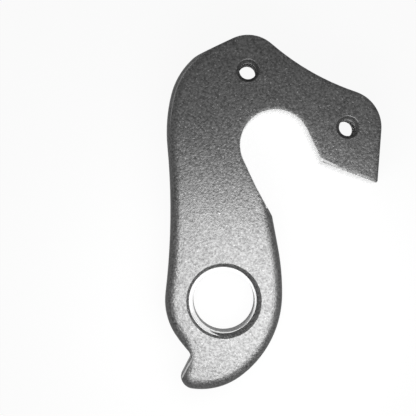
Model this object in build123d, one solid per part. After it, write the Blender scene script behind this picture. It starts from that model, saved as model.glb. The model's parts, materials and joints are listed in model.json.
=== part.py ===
"""Bicycle derailleur hanger: one flat hook of plate, lying on its inboard face.

The origin is on the axis of the derailleur bore, at the inboard face. +X points ahead on the
bicycle, +Y runs up the hanger, away from its tail, and +Z runs out of the outboard face.
The arm is profiled and rounded over first. Its tab, axle slot and stop notch are milled after.
"""

import os
from math import acos, atan2, cos, degrees, radians, sin, tan

from build123d import *

# Plate
thickness = 7.0
arm_rounding = 1.6
tip_rounding = 0.4
edge_break = 0.2

# Derailleur bore, tapped M10 x 1, from which the places below are measured
bore_minor_diameter = 9.0
bore_mouth_diameter = 11.0

# Axle slot and the throat below it
axle_ahead = 7.48
axle_above = 22.68
slot_width = 10.2
slot_lean = 25.0
throat_drop = 4.4
throat_turn = 4.2

# Frame screws, tapped M3 x 0.5, placed from the axle
screw_minor_diameter = 2.5
screw_mouth_diameter = 3.4
top_screw_behind_axle = 3.98
top_screw_above_axle = 10.82
side_screw_ahead_of_axle = 10.52
side_screw_above_axle = 2.57

# Tab round the screws, from the shoulder to the tip of the hook
top_lobe_radius = 5.2
side_lobe_radius = 5.45
side_lobe_inset = 0.55
sweep_radius = 36.5
top_edge_slope = 25.2
corner_radius = 5.5
hook_tip_ahead_of_axle = 14.82
hook_tip_below_axle = 5.65
hook_slope = 20.7

# Arm, from the throat down the front side, round the tail and up the rear side
front_radius = 36.0
front_reach = 8.55
front_above = 1.15
front_lean = 10.65
belly_radius = 15.0
keel_radius = 9.65
keel_behind = 3.3
keel_below = 3.3
tail_radius = 1.9
tail_direction = -98.0
hollow_radius = 5.0
cheek_radius = 9.2
cheek_ahead = 0.6
cheek_above = 0.1
waist_radius = 100.0
spine_radius = 22.5
spine_direction = -14.0
shoulder_radius = 10.4
shoulder_behind_axle = 5.08
shoulder_above_axle = 4.92
leaving_slope = 45.0
entry_slope = 41.0
entry_step = 0.5

# Notch with the flat that the derailleur's angle screw bears on
notch_behind = 4.64
notch_below = 7.87
notch_radius = 1.1
stop_slope = 62.6
notch_slope = 131.5

# How far the stock and the cutters stand past the finished plate
stock_allowance = 6.0
cutter_reach = 60.0

# What counts as the same place, or as upright, when edges are picked
tolerance = 0.001

axle = Vector(axle_ahead, axle_above)
top_screw = axle + Vector(-top_screw_behind_axle, top_screw_above_axle)
side_screw = axle + Vector(side_screw_ahead_of_axle, side_screw_above_axle)
side_lobe = side_screw - Vector(side_lobe_inset, 0)
hook_tip = axle + Vector(hook_tip_ahead_of_axle, -hook_tip_below_axle)
shoulder = axle + Vector(-shoulder_behind_axle, shoulder_above_axle)
keel = Vector(-keel_behind, -keel_below)
cheek = Vector(cheek_ahead, cheek_above)
notch_corner = Vector(-notch_behind, -notch_below)


def polar(centre, radius, angle):
    """The point of a circle at an angle in degrees."""
    return centre + Vector(radius * cos(radians(angle)), radius * sin(radians(angle)))


def facing(centre, radius, other):
    """The point of a circle that faces another point."""
    return centre + (other - centre).normalized() * radius


def meeting(first, first_reach, second, second_reach):
    """The point at given distances from two centres, left of the way from one to the other."""
    way = second - first
    forward = (first_reach**2 - second_reach**2 + way.length**2) / (2 * way.length)
    aside = (first_reach**2 - forward**2) ** 0.5
    ahead = way.normalized()
    return first + ahead * forward + Vector(-ahead.Y, ahead.X) * aside


def crossing(first, first_angle, second, second_angle):
    """The point where two lines meet, each given by a point and an angle in degrees."""
    ahead = polar(Vector(0, 0), 1, first_angle)
    across = polar(Vector(0, 0), 1, second_angle)
    return first + ahead * ((second - first).cross(across).Z / ahead.cross(across).Z)


def bend(centre, start, end):
    """The arc round a centre from one point to another, under half a turn."""
    middle = facing(centre, (start - centre).length, (start + end) / 2)
    return ThreePointArc(start, middle, end)


def arm_stock():
    """The arm's outline with its rounded rim, and plain stock where the tab will be."""
    front = Vector(front_reach - front_radius, front_above)
    belly = meeting(front, front_radius - belly_radius, keel, belly_radius - keel_radius)
    tail = polar(keel, keel_radius - tail_radius, tail_direction)
    hollow = meeting(tail, tail_radius + hollow_radius, cheek, cheek_radius + hollow_radius)
    spine = polar(shoulder, spine_radius - shoulder_radius, spine_direction)
    waist = meeting(cheek, cheek_radius + waist_radius, spine, spine_radius + waist_radius)

    front_start = polar(front, front_radius, front_lean)
    front_end = facing(front, front_radius, belly)
    belly_end = facing(belly, belly_radius, keel)
    keel_end = facing(keel, keel_radius, tail)
    tail_end = facing(tail, tail_radius, hollow)
    hollow_end = facing(cheek, cheek_radius, hollow)
    cheek_end = facing(cheek, cheek_radius, waist)
    waist_end = facing(spine, spine_radius, waist)
    spine_end = polar(shoulder, shoulder_radius, spine_direction + 180)
    shoulder_end = polar(shoulder, shoulder_radius, leaving_slope + 90)

    # The stock stays inside what the tab and throat cutters remove
    stock_top = top_screw.Y + top_lobe_radius + stock_allowance
    stock_front = side_lobe.X + side_lobe_radius + stock_allowance
    stock_bottom = hook_tip.Y - stock_allowance
    start = crossing(front_start, front_lean + 90, axle - Vector(0, slot_width / 2), 0)
    leaving = crossing(shoulder_end, leaving_slope, Vector(0, stock_top), 0)
    mouth = crossing(start, slot_lean - 90, Vector(0, stock_bottom), 0)

    with BuildPart() as stock:
        with BuildSketch():
            with BuildLine():
                with BuildLine(mode=Mode.ADD) as rim:
                    Line(start, front_start)
                    bend(front, front_start, front_end)
                    bend(belly, front_end, belly_end)
                    bend(keel, belly_end, keel_end)
                    bend(tail, keel_end, tail_end)
                    bend(hollow, tail_end, hollow_end)
                    bend(cheek, hollow_end, cheek_end)
                    bend(waist, cheek_end, waist_end)
                    bend(spine, waist_end, spine_end)
                    bend(shoulder, spine_end, shoulder_end)
                    Line(shoulder_end, leaving)
                Polyline(
                    leaving,
                    Vector(stock_front, stock_top),
                    Vector(stock_front, stock_bottom),
                    mouth,
                    start,
                )
            make_face()
        extrude(amount=thickness)
        raised_rim = rim.line.moved(Location((0, 0, thickness)))
        rounded = [
            edge
            for edge in stock.faces().sort_by(Axis.Z)[-1].edges()
            if raised_rim.distance_to(edge @ 0.5) < tolerance
        ]
        fillet(rounded, arm_rounding)
    return stock.part


def cutter(outline):
    """A prism that stands past both faces of the plate."""
    return extrude(outline, thickness + stock_allowance, both=True)


def tab_cutter():
    """What is milled away round the tab, from the shoulder over both lobes to the hook's tip."""
    shoulder_end = polar(shoulder, shoulder_radius, leaving_slope + 90)
    entry = polar(shoulder_end, entry_step, leaving_slope)
    top_lobe_start = polar(top_screw, top_lobe_radius, top_edge_slope + 90)
    corner = crossing(top_lobe_start, top_edge_slope, entry, entry_slope)
    corner_length = corner_radius * tan(radians((entry_slope - top_edge_slope) / 2))
    corner_start = polar(corner, corner_length, entry_slope + 180)
    corner_end = polar(corner, corner_length, top_edge_slope)
    corner_centre = polar(corner_end, corner_radius, top_edge_slope - 90)

    sweep = meeting(
        top_screw, top_lobe_radius + sweep_radius, side_lobe, side_lobe_radius + sweep_radius
    )
    sweep_start = facing(top_screw, top_lobe_radius, sweep)
    sweep_end = facing(side_lobe, side_lobe_radius, sweep)

    # The hook's edge runs from its tip to where it touches the side lobe
    to_tip = hook_tip - side_lobe
    edge_angle = degrees(atan2(to_tip.Y, to_tip.X) + acos(side_lobe_radius / to_tip.length))
    edge_start = polar(side_lobe, side_lobe_radius, edge_angle)
    past_tip = polar(hook_tip, cutter_reach, edge_angle - 90)
    before_corner = polar(corner, cutter_reach, entry_slope + 180)

    with BuildSketch() as outside:
        with BuildLine():
            Line(before_corner, corner_start)
            bend(corner_centre, corner_start, corner_end)
            Line(corner_end, top_lobe_start)
            bend(top_screw, top_lobe_start, sweep_start)
            bend(sweep, sweep_start, sweep_end)
            bend(side_lobe, sweep_end, edge_start)
            Polyline(
                edge_start,
                past_tip,
                Vector(cutter_reach, -cutter_reach),
                Vector(cutter_reach, cutter_reach),
                Vector(-cutter_reach, cutter_reach),
                before_corner,
            )
        make_face()
    return cutter(outside.sketch)


def throat_cutter():
    """The axle slot, open downwards between the hook's lower edge and the arm."""
    slot_radius = slot_width / 2
    slot_axis = slot_lean - 90
    rear_wall = polar(axle, slot_radius, slot_lean + 180)
    slot_end = polar(axle, slot_radius, slot_lean + 90)
    front_wall = polar(axle, slot_radius, slot_lean)
    mouth_corner = crossing(front_wall, slot_axis, hook_tip, -hook_slope)
    throat_start = polar(rear_wall, throat_drop, slot_axis)

    with BuildSketch() as opening:
        with BuildLine():
            ThreePointArc(rear_wall, slot_end, front_wall)
            Polyline(
                front_wall,
                mouth_corner,
                polar(hook_tip, cutter_reach, -hook_slope),
                Vector(cutter_reach, -cutter_reach),
                polar(throat_start, cutter_reach, slot_axis + throat_turn),
                throat_start,
                rear_wall,
            )
        make_face()
    return cutter(opening.sketch)


def notch_cutter():
    """The notch above the tail, with the stop flat as its lower side."""
    with BuildSketch() as notch:
        with BuildLine():
            Polyline(
                notch_corner,
                polar(notch_corner, cutter_reach, notch_slope),
                polar(notch_corner, cutter_reach, stop_slope + 180),
                close=True,
            )
        make_face()
        fillet(notch.vertices().sort_by_distance(notch_corner)[0], notch_radius)
    return cutter(notch.sketch)


def tapped_hole(minor_diameter, mouth_diameter):
    """A hole of a thread's minor diameter, through the plate, with a 45-degree mouth in front."""
    CounterSinkHole(minor_diameter / 2, mouth_diameter / 2, counter_sink_angle=90)


def hanger():
    """The milled plate with its tapped holes, broken along the edges that the mill leaves."""
    milled = arm_stock() - tab_cutter() - throat_cutter() - notch_cutter()
    with BuildPart() as plate:
        add(milled)
        upright = plate.edges().filter_by(Axis.Z)
        fillet(upright.sort_by_distance(hook_tip + Vector(0, 0, thickness / 2))[0], tip_rounding)

        front_edges = plate.faces().sort_by(Axis.Z)[-1].edges()
        walls = plate.faces().filter_by(lambda face: abs(face.normal_at().Z) < tolerance)
        fillet([edge for edge in front_edges if edge in walls.edges()], edge_break)

        with Locations((0, 0, thickness)):
            tapped_hole(bore_minor_diameter, bore_mouth_diameter)
        for screw in (top_screw, side_screw):
            with Locations(screw + Vector(0, 0, thickness)):
                tapped_hole(screw_minor_diameter, screw_mouth_diameter)
    return plate.part


os.makedirs("parts", exist_ok=True)
export_step(hanger(), "parts/hanger.step")
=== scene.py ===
# %% [markdown]
# # A bicycle derailleur hanger
#
# The real part is one flat hook of aluminium, about as long as a thumb. It screws to the frame
# beside the rear axle and holds the derailleur in its large threaded bore. It is profiled,
# rounded over along its arm and blasted with glass beads. Then its screw holes are tapped, it is
# anodised dark, and last the axle slot and the large bore are cut bare.
#
# The plate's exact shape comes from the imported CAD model, which is loaded first as a fixed
# frame. What is left for Blender is what a drawing leaves out: real screw threads, broken edges
# and the finish of the metal. All lengths below are in metres, in the CAD's own frame.

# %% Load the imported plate
import json
import math

import bmesh
import bpy
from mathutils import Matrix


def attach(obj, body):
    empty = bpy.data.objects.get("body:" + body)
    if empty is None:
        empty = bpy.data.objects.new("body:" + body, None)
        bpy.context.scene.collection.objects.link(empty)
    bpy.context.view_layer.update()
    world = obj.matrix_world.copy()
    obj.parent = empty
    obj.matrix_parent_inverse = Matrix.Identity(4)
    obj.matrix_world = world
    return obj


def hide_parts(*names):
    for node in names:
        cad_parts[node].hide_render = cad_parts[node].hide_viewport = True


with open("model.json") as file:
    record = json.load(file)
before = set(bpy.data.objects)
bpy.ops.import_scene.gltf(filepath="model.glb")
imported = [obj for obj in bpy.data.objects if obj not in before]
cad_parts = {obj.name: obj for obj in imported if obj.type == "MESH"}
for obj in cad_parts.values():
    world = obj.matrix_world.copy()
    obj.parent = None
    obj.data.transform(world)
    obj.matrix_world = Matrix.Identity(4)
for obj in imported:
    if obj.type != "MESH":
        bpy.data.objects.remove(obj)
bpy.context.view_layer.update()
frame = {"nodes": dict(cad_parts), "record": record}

MM = 0.001

# %% [markdown]
# ## Camera
#
# The photograph looks straight down on the plate from about 205 mm above it. A camera that
# looks along -Z with +Y up is one that has not been turned at all, so only its place and its
# lens are set. The lens follows from the 60.4 mm of plate and floor that the frame is wide at
# the height of the plate's upper face. The frame's middle lies a little up the hanger from the
# point under the camera, so the lens is shifted by that part of the frame's width instead of
# tilting the camera, which would make the plate look wedge-shaped.

# %% Camera
plate_thickness = 7.0 * MM
eye_above_plate = 205.0 * MM
frame_width = 60.38 * MM
under_camera = (-2.31 * MM, 11.05 * MM)
frame_middle_above_foot = 2.47 * MM

bpy.ops.object.select_all(action="DESELECT")
bpy.ops.object.camera_add(location=(*under_camera, plate_thickness + eye_above_plate))
camera = bpy.context.object
camera.name = "photo_camera"
camera.data.sensor_width = 36.0
camera.data.lens = camera.data.sensor_width * eye_above_plate / frame_width
camera.data.shift_y = frame_middle_above_foot / frame_width
camera.data.clip_start = 0.01
bpy.context.scene.camera = camera
print("lens, mm:", round(camera.data.lens, 1), "shift:", round(camera.data.shift_y, 3))

# %% [markdown]
# ## One helper for shader maths
#
# A finish is a small sum: some grain, less at the edges, more where the metal is bare. Laid out
# node by node such a sum is hard to read, so one small class wraps an output socket and lets
# Python's own +, -, * and ** add the Math nodes. Its `node` method adds any other node. Settings
# are made first, because some of them change which sockets the node has.

# %% Shader maths
class Wire:
    """One output of a shader node. Arithmetic on it adds Math nodes to the same tree."""

    def __init__(self, socket):
        self.socket = socket

    @staticmethod
    def node(tree, kind, settings=None, sockets=None, output=0):
        """Adds a node: its settings first, then the values or links of its sockets."""
        made = tree.nodes.new(kind)
        for name, value in (settings or {}).items():
            setattr(made, name, value)
        for name, value in (sockets or {}).items():
            if isinstance(value, Wire):
                tree.links.new(value.socket, made.inputs[name])
            else:
                made.inputs[name].default_value = value
        return Wire(made.outputs[output])

    def math(self, operation, *values):
        """A Math node in this wire's tree, with the values as its inputs."""
        settings = {"operation": operation}
        return Wire.node(self.socket.id_data, "ShaderNodeMath", settings, dict(enumerate(values)))

    def __add__(self, other):
        return self.math("ADD", self, other)

    def __sub__(self, other):
        return self.math("SUBTRACT", self, other)

    def __rsub__(self, other):
        return self.math("SUBTRACT", other, self)

    def __mul__(self, other):
        return self.math("MULTIPLY", self, other)

    def __pow__(self, other):
        return self.math("POWER", self, other)

    def larger(self, other):
        return self.math("MAXIMUM", self, other)

    def step(self, low, high):
        """0 below low, 1 above high and a smooth slope between; low may be the larger."""
        settings = {"interpolation_type": "SMOOTHSTEP"}
        sockets = {"Value": self, "From Min": low, "From Max": high}
        return Wire.node(self.socket.id_data, "ShaderNodeMapRange", settings, sockets)

    __radd__ = __add__
    __rmul__ = __mul__


def new_material(name):
    """A material with an empty tree but for its output node."""
    material = bpy.data.materials.new(name)
    material.use_nodes = True
    material.node_tree.nodes.clear()
    return material, material.node_tree, material.node_tree.nodes.new("ShaderNodeOutputMaterial")


# %% [markdown]
# ## Floor
#
# The plate lies on its flat inboard face on white paper, with a gap of 0.02 mm that keeps the
# two faces from showing through each other. The paper could be lit until it is white, but the
# metal would then get more light than it needs. So the paper takes most of its white from
# itself, wherever the camera or a reflection looks at it, and the rest from the lamp. The part
# that comes from the lamp keeps the plate's soft shadow.

# %% Floor
floor_width = 3.0
gap_below_plate = 0.02 * MM
share_of_own_white = 0.93

bpy.ops.object.select_all(action="DESELECT")
bpy.ops.mesh.primitive_plane_add(size=floor_width, location=(0, 0, -gap_below_plate))
floor = bpy.context.object
floor.name = "paper_floor"

paper, tree, output = new_material("white_paper")
light_path = Wire.node(tree, "ShaderNodeLightPath")
ray_kinds = {socket.name: Wire(socket) for socket in light_path.socket.node.outputs}
looked_at = ray_kinds["Is Camera Ray"].larger(ray_kinds["Is Glossy Ray"])
looked_at = looked_at.larger(ray_kinds["Is Transmission Ray"])
lit = Wire.node(
    tree,
    "ShaderNodeBsdfPrincipled",
    None,
    {"Base Color": (0.9, 0.9, 0.9, 1), "Roughness": 0.9, "Specular IOR Level": 0.1},
)
own_white = Wire.node(tree, "ShaderNodeEmission", None, {"Color": (1, 1, 1, 1), "Strength": 1.0})
parts = {0: looked_at * share_of_own_white, 1: lit, 2: own_white}
mixed = Wire.node(tree, "ShaderNodeMixShader", None, parts)
tree.links.new(mixed.socket, output.inputs["Surface"])
floor.data.materials.append(paper)

# %% [markdown]
# ## Light
#
# In the photograph the upper face is dark at the tab and bright at the tail, although it is
# flat and of one colour. So a soft light hangs close over the tail. It is a rectangle of 38 by
# 33 mm, three centimetres up, because only a near lamp changes so much over five centimetres.
# Its strength puts the arm beside the slot at the level at which a colour renders about as it
# is written. The tab gets half of that and the bore twice as much. A grey room fills the rest.
# It is darker towards the horizon, which is what the rounded rim mirrors, and that keeps the
# rim dark.

# %% Lamps
lamp_middle = (5.5 * MM, -3 * MM, 30 * MM)
lamp_width, lamp_depth = 38 * MM, 33 * MM
lamp_brightness = 4.6
room_overhead = 0.31
room_at_horizon = 0.145
horizon_ends_at = 0.6

bpy.ops.object.select_all(action="DESELECT")
bpy.ops.object.light_add(type="AREA", location=lamp_middle)
lamp = bpy.context.object
lamp.name = "tail_soft_box"
lamp.data.shape = "RECTANGLE"
lamp.data.size, lamp.data.size_y = lamp_width, lamp_depth
lamp.data.energy = lamp_brightness * math.pi * lamp_width * lamp_depth
lamp.visible_camera = False

room = bpy.data.worlds.new("grey_room")
room.use_nodes = True
tree = room.node_tree
direction = Wire.node(tree, "ShaderNodeTexCoord", output=0)
upward = Wire.node(tree, "ShaderNodeSeparateXYZ", None, {"Vector": direction}, 2)
near_horizon = upward.step(horizon_ends_at, 0.0)
shade = room_overhead - (room_overhead - room_at_horizon) * near_horizon
wall = Wire.node(tree, "ShaderNodeCombineColor", None, {"Red": shade, "Green": shade, "Blue": shade})
tree.links.new(wall.socket, tree.nodes["Background"].inputs["Color"])
bpy.context.scene.world = room
bpy.context.scene.view_settings.view_transform = "Standard"

# %% [markdown]
# ## The plate as one clean mesh
#
# The CAD model arrives as loose triangles, and it must stay as it is. So the piece that is
# dressed here is a copy, welded into one closed skin. Its flat faces are then cleared of the
# triangles' edges, which makes every edge that is left a real edge of the plate.

# %% Weld a copy of the plate
weld_distance = 0.0005 * MM


def only(piece):
    """Makes the piece the one selected and active object."""
    bpy.ops.object.select_all(action="DESELECT")
    piece.select_set(True)
    bpy.context.view_layer.objects.active = piece


cad_plate = frame["nodes"]["hanger"]
plate = bpy.data.objects.new("hanger_plate", cad_plate.data.copy())
bpy.context.collection.objects.link(plate)
plate.data.materials.clear()
only(plate)
bpy.ops.object.mode_set(mode="EDIT")
bpy.ops.mesh.select_all(action="SELECT")
bpy.ops.mesh.remove_doubles(threshold=weld_distance)
bpy.ops.mesh.dissolve_limited(angle_limit=math.radians(0.05))
bpy.ops.mesh.select_all(action="SELECT")
bpy.ops.mesh.customdata_custom_splitnormals_clear()
bpy.ops.object.mode_set(mode="OBJECT")


def open_edges(piece):
    """How many edges don't have a face on both sides."""
    mesh = bmesh.new()
    mesh.from_mesh(piece.data)
    count = sum(1 for edge in mesh.edges if len(edge.link_faces) != 2)
    mesh.free()
    return count


print("faces:", len(plate.data.polygons), "open edges:", open_edges(plate))

# %% [markdown]
# ## Broken edges
#
# No real edge is perfectly sharp: it is tumbled or deburred, and a thin line of light runs
# along it. The CAD model rounds the edges of the outboard face. Here the back rim and the mouths
# of the three holes are broken as well. Bevelling the whole mesh by angle would also catch the
# corners in the outline, so the edges are picked by the two faces that meet there.

# %% Break the back rim and the mouths
def bevel_edges(piece, wanted, width, segments):
    """Bevels the edges that wanted(edge) picks in edit mode, and tells how many they were."""
    only(piece)
    bpy.ops.object.mode_set(mode="EDIT")
    bpy.ops.mesh.select_mode(type="EDGE")
    bpy.ops.mesh.select_all(action="DESELECT")
    mesh = bmesh.from_edit_mesh(piece.data)
    picked = [edge for edge in mesh.edges if len(edge.link_faces) == 2 and wanted(edge)]
    for edge in picked:
        edge.select_set(True)
    bmesh.update_edit_mesh(piece.data)
    bpy.ops.mesh.bevel(offset=width, segments=segments, profile=0.5, clamp_overlap=False)
    bpy.ops.object.mode_set(mode="OBJECT")
    return len(picked)


def on_back_rim(edge):
    """True between the flat back and an upright wall."""
    slopes = sorted(face.normal.z for face in edge.link_faces)
    return slopes[0] < -0.99 and abs(slopes[1]) < 0.1


def on_hole_mouth(edge):
    """True between the flat front and the 45 degree countersink of a hole."""
    slopes = sorted(face.normal.z for face in edge.link_faces)
    return slopes[1] > 0.999 and 0.6 < slopes[0] < 0.8


back_rim_width = 0.12 * MM
mouth_width = 0.06 * MM
print("back rim edges:", bevel_edges(plate, on_back_rim, back_rim_width, 2))
print("mouth edges:", bevel_edges(plate, on_hole_mouth, mouth_width, 2))
print("open edges:", open_edges(plate))

# %% [markdown]
# ## Screw threads
#
# The bore is tapped M10 x 1 and the two small holes M3 x 0.5. A tap cuts a V groove that climbs
# round the wall. It could be painted on with a bump pattern, but a real groove also shows at
# the back, in the shadows and where it runs out in the countersink. So the tap itself is
# modelled: one tooth, drawn as a trapezium from a plane, carried up a helix by the Screw
# modifier, closed at both ends, and then taken away from the plate by a Boolean.

# %% Tap the three holes
def tap(name, centre, pitch, thread_radius, wall_radius, steps, start_angle):
    """A helical tooth at the centre of a hole, from below the plate to above it."""
    slope = math.tan(math.radians(30))
    outer_half = pitch / 16
    sharp_radius = thread_radius + outer_half / slope
    inner_radius = wall_radius - 0.16 * pitch
    inner_half = (sharp_radius - inner_radius) * slope
    turns = math.ceil(plate_thickness / pitch) + 2

    bpy.ops.object.select_all(action="DESELECT")
    bpy.ops.mesh.primitive_plane_add(size=1.0, rotation=(math.pi / 2, 0, 0))
    tooth = bpy.context.object
    tooth.name = name
    bpy.ops.object.transform_apply(location=True, rotation=True, scale=True)
    bpy.ops.object.mode_set(mode="EDIT")
    bpy.ops.mesh.select_all(action="DESELECT")
    mesh = bmesh.from_edit_mesh(tooth.data)
    for corner in mesh.verts:
        outer = corner.co.x > 0
        half = outer_half if outer else inner_half
        corner.co.x = thread_radius if outer else inner_radius
        corner.co.z = math.copysign(half, corner.co.z) - pitch
    bmesh.ops.delete(mesh, geom=mesh.faces[:], context="FACES_ONLY")
    bmesh.update_edit_mesh(tooth.data)
    bpy.ops.object.mode_set(mode="OBJECT")

    climb = tooth.modifiers.new("climb", "SCREW")
    climb.axis = "Z"
    climb.angle = 2 * math.pi
    climb.screw_offset = pitch
    climb.iterations = turns
    climb.steps = climb.render_steps = steps
    bpy.ops.object.modifier_apply(modifier=climb.name)
    tooth.rotation_euler.z = start_angle
    tooth.location = centre
    bpy.ops.object.transform_apply(location=True, rotation=True, scale=True)
    bpy.ops.object.mode_set(mode="EDIT")
    bpy.ops.mesh.select_mode(type="EDGE")
    bpy.ops.mesh.select_all(action="DESELECT")
    bpy.ops.mesh.select_non_manifold()
    bpy.ops.mesh.fill_holes(sides=4)
    bpy.ops.mesh.select_all(action="SELECT")
    bpy.ops.mesh.normals_make_consistent(inside=False)
    bpy.ops.object.mode_set(mode="OBJECT")
    print(name, "faces:", len(tooth.data.polygons), "open edges:", open_edges(tooth))
    return tooth


def cut(piece, tool):
    """Takes the tool's volume away from the piece, and the tool with it."""
    only(piece)
    boolean = piece.modifiers.new("cut", "BOOLEAN")
    boolean.operation = "DIFFERENCE"
    boolean.solver = "EXACT"
    boolean.object = tool
    bpy.ops.object.modifier_apply(modifier=boolean.name)
    bpy.data.objects.remove(tool)
    bpy.ops.object.mode_set(mode="EDIT")
    bpy.ops.mesh.select_all(action="SELECT")
    bpy.ops.mesh.remove_doubles(threshold=weld_distance)
    bpy.ops.object.mode_set(mode="OBJECT")
    print("open edges after the cut:", open_edges(piece))


mounts = {mount["name"]: mount for mount in frame["record"]["mounts"]}
m10_by_1 = {"pitch": 1.0 * MM, "thread_radius": 5.0 * MM, "steps": 72, "start_angle": 0.0}
m3_by_half = {"pitch": 0.5 * MM, "thread_radius": 1.5 * MM, "steps": 40, "start_angle": 0.35}
for tool, mount_name, thread in (
    ("bore_tap", "derailleur_bore", m10_by_1),
    ("top_screw_hole", "top_screw_hole", m3_by_half),
    ("side_screw_hole", "side_screw_hole", m3_by_half),
):
    hole = mounts[mount_name]
    x, y, _ = hole["pos_m"]
    cut(plate, tap(tool, (x, y, 0), wall_radius=hole["dims"]["r_mm"] * MM, **thread))
print("faces:", len(plate.data.polygons), "open edges:", open_edges(plate))

# %% [markdown]
# ## Smooth shading
#
# Curved walls are made of many small flat faces. They are shaded smooth wherever two faces meet
# at less than 30 degrees, and stay crisp at the real edges. A weighted-normal modifier then lets
# the large flat faces decide the light along their borders, so that the rounded rim ends
# cleanly and no gradient creeps onto the flat.

# %% Shade the plate
only(plate)
bpy.ops.object.shade_smooth_by_angle(angle=math.radians(30))
weigh = plate.modifiers.new("weigh", "WEIGHTED_NORMAL")
weigh.mode = "FACE_AREA"
weigh.weight = 100
weigh.keep_sharp = True
bpy.ops.object.modifier_apply(modifier=weigh.name)

# %% [markdown]
# ## Helpers for the finish
#
# Everything below is placed by the plate's own coordinates, in millimetres from the bore's axis,
# so the finish stays on the plate when it is turned or moved.

# %% Places on the plate
finish, tree, output = new_material("anodised_aluminium")


def node(kind, settings=None, sockets=None, output=0):
    return Wire.node(tree, kind, settings, sockets, output)


here = node("ShaderNodeTexCoord", output=3)
outward = node("ShaderNodeNewGeometry", output=1)
facing_up = node("ShaderNodeSeparateXYZ", None, {"Vector": outward}, 2)
along_x, along_y, along_z = (
    node("ShaderNodeSeparateXYZ", None, {"Vector": here}, axis) * (1 / MM) for axis in range(3)
)


def noise(per_millimetre, detail=1.0, place=here):
    """Noise with that many lumps per millimetre, from 0 to 1 about 0.5."""
    sockets = {"Vector": place, "Scale": per_millimetre / MM, "Detail": detail, "Roughness": 0.5}
    return node("ShaderNodeTexNoise", {"noise_dimensions": "3D"}, sockets)


def between(low, high, value, border):
    """1 where the value lies between low and high, with a soft border outside of them."""
    return value.step(low - border, low) * value.step(high + border, high)


def distance_from(x, y):
    """How far the surface is from an upright axis through x, y."""
    return ((along_x - x) ** 2 + (along_y - y) ** 2) ** 0.5


def past_line(across_x, across_y, offset=0.0):
    """How far the surface lies past an upright plane, in the direction across it."""
    return along_x * across_x + along_y * across_y + offset


from_bore, from_top_screw, from_side_screw = (
    distance_from(*(metres / MM for metres in mounts[name]["pos_m"][:2]))
    for name in ("derailleur_bore", "top_screw_hole", "side_screw_hole")
)
from_screw = from_top_screw.math("MINIMUM", from_top_screw, from_side_screw)


# %% [markdown]
# ## Blasted grain
#
# Glass beads leave dimples a quarter of a millimetre across, and the dark anodic layer follows
# them. Each dimple tips the surface a little, so it mirrors a brighter or a darker part of the
# room, and holds a little more or less dye. So one grain, made of two noises of different size,
# moves the bump, the colour and the roughness together. A slow cloud varies the colour over the
# whole plate, because dye never takes evenly. Blasting also softens the last millimetre before
# every edge: the Bevel node rounds the light there without touching the mesh. The holes are
# cut after the blasting, so their mouths stay crisp and the screw holes have no grain.

# %% Grain, cloud and softened edges
softened_width = 1.1 * MM
dimple_depth = 0.07 * MM

grain = (noise(3.2) - 0.5) * 0.7 + (noise(7.0) - 0.5) * 0.35
cloud = noise(0.12, detail=3.0) - 0.5
rolled = node("ShaderNodeBevel", {"samples": 6}, {"Radius": softened_width})
softening = from_bore.step(5.7, 6.5) * from_screw.step(1.7, 2.6) * 0.5
two_normals = {"Factor": softening, 4: outward, 5: rolled}
softened = node("ShaderNodeMix", {"data_type": "VECTOR"}, two_normals, 1)
height = grain * from_screw.step(1.3, 1.8)
dimples = {"Distance": dimple_depth, "Height": height, "Normal": softened}
bump = node("ShaderNodeBump", None, dimples)

# %% [markdown]
# ## Bare metal at the bore, with painted reflection in its mouth
#
# The bore's mouth and its thread are cut after anodising, so they are bare. The bare part of the
# mouth is drawn as a spiral: it winds outwards by almost half a millimetre in one turn and ends
# beside its own beginning in a pointed tongue, at the lower left. The angle round the bore is
# measured from that end, so that its jump lies there too. The spiral's width is painted
# reflection: the bare band is wide and bright at the top and left, where the countersink mirrors
# a bright part of the room, and narrow at the right and lower right, where the dark anodised
# chamfer stands for a dark part.

# %% Bare mouth with painted reflection, and thread
run_out = math.radians(-115)
border_start = 4.74
border_gain = 0.38
tongue_start = 4.75
tongue_widening = 0.4 / math.radians(22)
tongue_outside = 5.13

ahead = past_line(-math.cos(run_out), -math.sin(run_out))
aside = past_line(math.sin(run_out), -math.cos(run_out))
turn = aside.math("ARCTAN2", aside, ahead)

# Painted reflection: the bare band is narrow at the right and widens to the top and left.
winding = turn.step(math.radians(-125), math.radians(115)) * border_gain
inside_border = (from_bore - winding).step(border_start, border_start - 0.05)
tongue_edge = from_bore - (turn + math.pi) * tongue_widening
on_tongue = tongue_edge.step(tongue_start, tongue_start + 0.06)
on_tongue = on_tongue * from_bore.step(tongue_outside, tongue_outside - 0.05)
in_mouth = inside_border.larger(on_tongue)
in_thread = along_z.step(5.75, 5.5) * from_bore.step(6.0, 5.5)

# %% [markdown]
# ## Bare metal at the slot, and painted highlights on three edges
#
# The photograph shows the slot's walls nearly white. They are milled after anodising, so that
# the axle seats on metal, and the same cutter bares the hook's lower side. The thin bright lines
# along the hook's edge where the axle slides in, along the edge of the stop flat and along the
# rounded shoulder are painted highlights: bands of bare-metal colour that stand for the glint of
# light on these edges.

# %% Bare slot, and painted highlights on three edges
axle_box = between(0.0, 22.0, along_x, 0.04) * between(13.5, 27.95, along_y, 0.04)
upright_wall = between(-0.8, 0.8, facing_up, 0.05)
in_slot = axle_box * upright_wall * from_side_screw.step(1.9, 2.0)

# Painted highlight along the edge of the stop flat.
behind_stop = past_line(0.888, -0.46, 0.5)
on_stop_edge = between(0.13, 0.29, behind_stop, 0.06) * facing_up.step(0.3, 0.5) * 0.5
on_stop_edge = on_stop_edge * along_y.step(-11.35, -11.25) * along_y.step(-8.0, -9.6)

# A faint painted highlight along the rounded shoulder.
on_shoulder = along_y.step(24, 28) * along_y.step(36, 34) * along_x.step(0, -3)
on_shoulder = on_shoulder * between(0.72, 0.78, facing_up, 0.04) * 0.2

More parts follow.
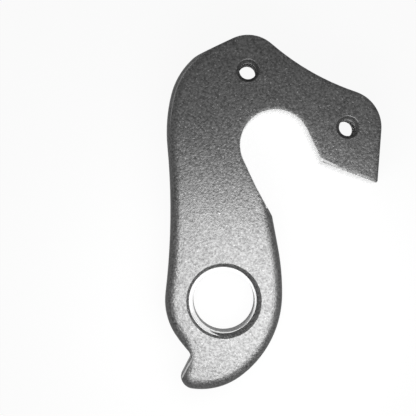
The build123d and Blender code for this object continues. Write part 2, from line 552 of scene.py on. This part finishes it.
# Painted highlight along the hook's edge where the axle slides in.
above_hook_edge = past_line(0.4235, 0.906, -24.54)
on_hook_edge = between(0.02, 0.26, above_hook_edge, 0.07) * along_x.step(18, 14.5) * 0.6
on_hook_edge = on_hook_edge * along_y.step(21.2, 21) * facing_up.step(0.3, 0.5)
# The bare-metal mask also carries the three painted highlights.
bare_and_highlights = in_mouth.larger(in_slot).larger(on_stop_edge).larger(on_shoulder).larger(on_hook_edge)

# %% [markdown]
# ## Tool marks on the bare metal
#
# A milling cutter leaves fine upright lines on a wall, and a countersink leaves rings. Both are
# noise on coordinates that are squeezed along the cut: almost flat in height for the walls, and
# the distance from the axis for the rings. The bore's thread is painted greyer than its mouth, as
# painted shade deep in the bore. The slot's walls darken towards their upper edge.

# %% Tool marks
squeeze = (1.0, 1.0, 0.04)
squeezed = node("ShaderNodeVectorMath", {"operation": "MULTIPLY"}, {0: here, 1: squeeze})
rings = node("ShaderNodeCombineXYZ", None, {"X": from_bore * MM, "Z": along_z * MM})
milled = noise(3.5, place=squeezed) - 0.5
countersunk = noise(9.0, place=rings) - 0.5
marks = milled * in_slot + countersunk * in_mouth
slot_shade = in_slot * 0.12 * along_z.step(1.5, 7.0)
bare_metal = 0.95
# The bore's thread is painted darker here, as painted shade deep in the bore.
shine = bare_metal - 0.09 * in_mouth - 0.59 * in_thread - slot_shade + marks * 0.3

# %% [markdown]
# ## Colour of the anodised metal, with painted shade and glints
#
# The upright walls, the lower half of the rounded rim and the mouths of the two screw holes are
# painted darker than the flat face. This is painted shade: these steep sides mirror the dark room
# near the horizon. The tapped walls of the screw holes are lighter further down. Here and there a
# bright speck is painted in as a glint, more on the tab than on the tail.

# %% Colour of the anodised metal, with painted shade and glints
in_screw_hole = from_screw.step(1.65, 1.55) * along_z.step(0.0, 0.2)
tapped = in_screw_hole * along_z.step(6.4, 4.4)
# Painted highlight: bright specks of colour stand for single dimples glinting in the lamp, painted
# stronger on the tab than on the tail.
painted_glints = noise(3.9).step(0.66, 0.76) * (0.12 + 0.23 * along_y.step(5, 30))
facing_flat = facing_up.math("ABSOLUTE", facing_up).step(0.45, 0.95)
face_level = 0.205
level = face_level + cloud * 0.03 + grain * 0.47 + painted_glints * facing_flat
# Painted shade: walls and steep rims keep only this share of the flat face's colour, for the dark
# room they mirror.
wall_shade_share = 0.44
level = level * (wall_shade_share + (1 - wall_shade_share) * facing_flat) * (1.0 + 3.2 * tapped)

# %% [markdown]
# ## The two metals
#
# Both are metal shaders, dark for the anodised plate and light where it is bare and along the
# painted highlights, and the mask mixes them. Roughness is high on both, for blasting and cutting
# scatter the light widely. That spreads the soft box over the whole plate as a gradient instead
# of a mirror image.

# %% Anodised and bare metal
def grey(value):
    return node("ShaderNodeCombineColor", None, {"Red": value, "Green": value, "Blue": value})


def metal(colour, roughness, normal):
    sockets = {"Base Color": colour, "Metallic": 1.0, "Roughness": roughness, "Normal": normal}
    return node("ShaderNodeBsdfPrincipled", None, sockets)


anodised = metal(grey(level), 0.485 + grain * 0.2 + in_screw_hole * 0.45, bump)
cut_metal_and_highlights = metal(grey(shine), 0.7 + marks * 0.3, outward)
surface = node("ShaderNodeMixShader", None, {0: bare_and_highlights, 1: anodised, 2: cut_metal_and_highlights})
tree.links.new(surface.socket, output.inputs["Surface"])
plate.data.materials.append(finish)
print("shader nodes:", len(tree.nodes))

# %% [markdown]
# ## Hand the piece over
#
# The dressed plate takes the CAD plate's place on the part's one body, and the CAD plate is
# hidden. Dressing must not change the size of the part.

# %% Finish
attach(plate, "root")
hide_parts("hanger")
